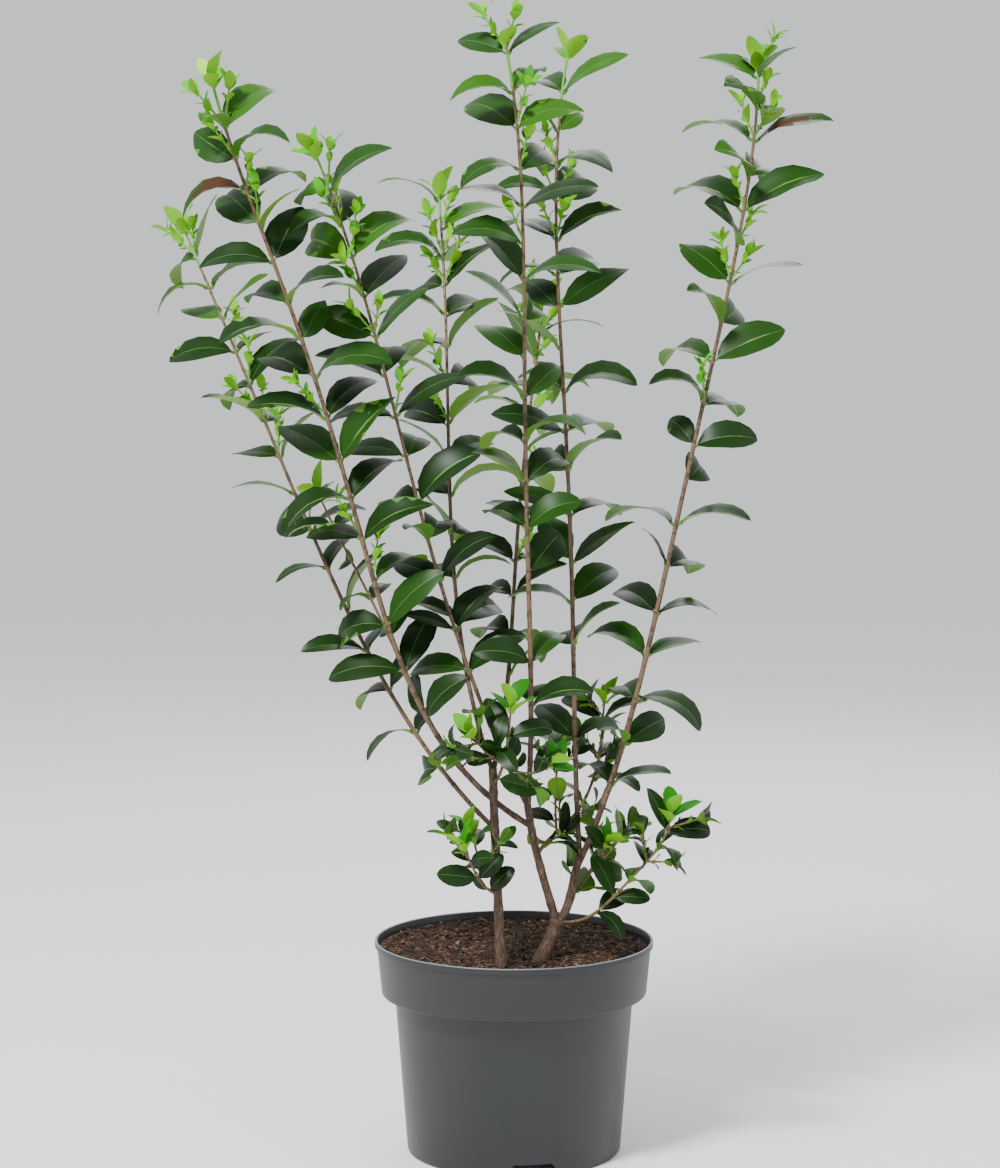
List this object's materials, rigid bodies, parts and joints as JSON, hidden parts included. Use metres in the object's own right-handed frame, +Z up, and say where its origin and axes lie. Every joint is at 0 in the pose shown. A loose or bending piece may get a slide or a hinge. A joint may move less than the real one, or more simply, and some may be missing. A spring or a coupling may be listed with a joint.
{
  "type": "potted privet",
  "caption": "Upright privet shrub with long leafy stems and bright young shoots, growing from two trunks in a round plastic nursery pot filled with potting soil.",
  "frame": {"origin": "centre of the pot's underside, on the ground", "axes": "+Z up, the broad side of the crown facing -Y, +X to the right as seen from there"},
  "size_m": [0.6777, 0.4384, 1.139],
  "materials": {
    "moulded_plastic": "smooth moulded anthracite plastic, satin",
    "potting_soil": "loose fibrous potting soil, matt",
    "bark": "smooth young bark, dull",
    "foliage": "glossy dark green leaves"
  },
  "bodies": {
    "root": {"pot": "moulded_plastic", "potting_soil": "potting_soil", "trunk_left": "bark", "trunk_right": "bark", "bough_fork_left": "bark", "bough_fork_right": "bark", "bough_far_left": "bark", "bough_left": "bark", "bough_mid_left": "bark", "bough_centre_left": "bark", "bough_rear": "bark", "bough_centre": "bark", "bough_centre_right": "bark", "bough_right": "bark", "foliage_far_left": "foliage", "foliage_left": "foliage", "foliage_mid_left": "foliage", "foliage_centre_left": "foliage", "foliage_rear": "foliage", "foliage_centre": "foliage", "foliage_centre_right": "foliage", "foliage_right": "foliage", "foliage_foot_left": "foliage", "foliage_low_left": "foliage", "foliage_low_middle": "foliage", "foliage_foot_right": "foliage", "foliage_low_right": "foliage"}
  },
  "joints": []
}
